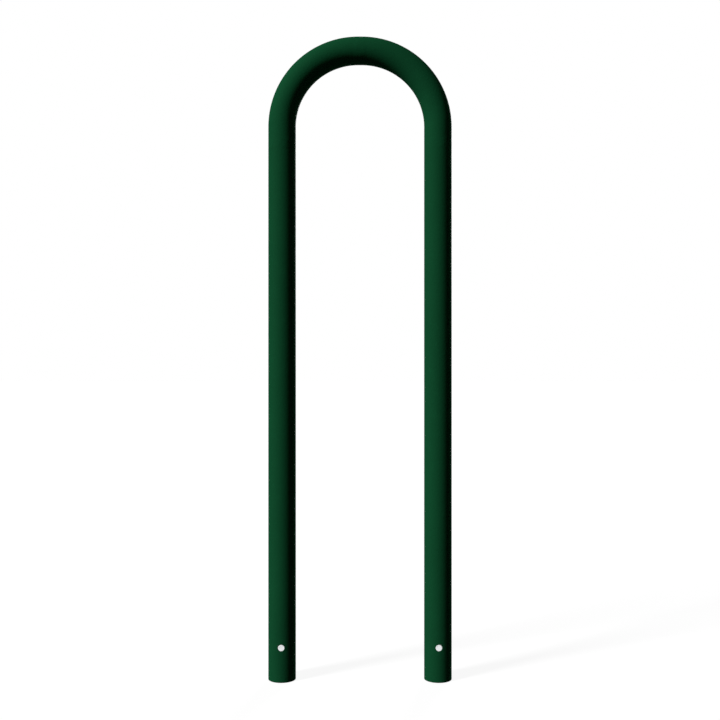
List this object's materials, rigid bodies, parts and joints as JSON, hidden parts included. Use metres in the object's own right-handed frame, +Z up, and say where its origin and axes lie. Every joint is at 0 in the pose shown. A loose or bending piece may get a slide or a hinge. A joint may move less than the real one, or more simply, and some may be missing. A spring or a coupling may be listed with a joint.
{
  "type": "hoop barrier",
  "caption": "Tall, narrow hoop of dark green coated steel tube with open feet and cross holes for anchor bars, set in the ground to keep vehicles out or to carry a chain.",
  "frame": {"origin": "on the ground level of the feet, midway between the two legs", "axes": "+Z up along the legs, +X across the hoop from the left leg to the right leg, +Y through the hoop from front to back"},
  "size_m": [0.4, 0.06, 1.4],
  "materials": {
    "coated_steel": "dark moss green powder coat, matt with a faint orange peel, over zinc",
    "coated_weld": "weld ground flush, under the same dark moss green powder coat",
    "bare_steel": "turned steel, uncoated, closed in the tube"
  },
  "bodies": {
    "root": {"left_leg": "coated_steel", "right_leg": "coated_steel", "left_bend": "coated_steel", "right_bend": "coated_steel", "left_joint_weld": "coated_weld", "right_joint_weld": "coated_weld", "crown_weld": "coated_weld", "left_joint_sleeve": "bare_steel", "right_joint_sleeve": "bare_steel", "crown_backing_ring": "bare_steel"}
  },
  "joints": []
}
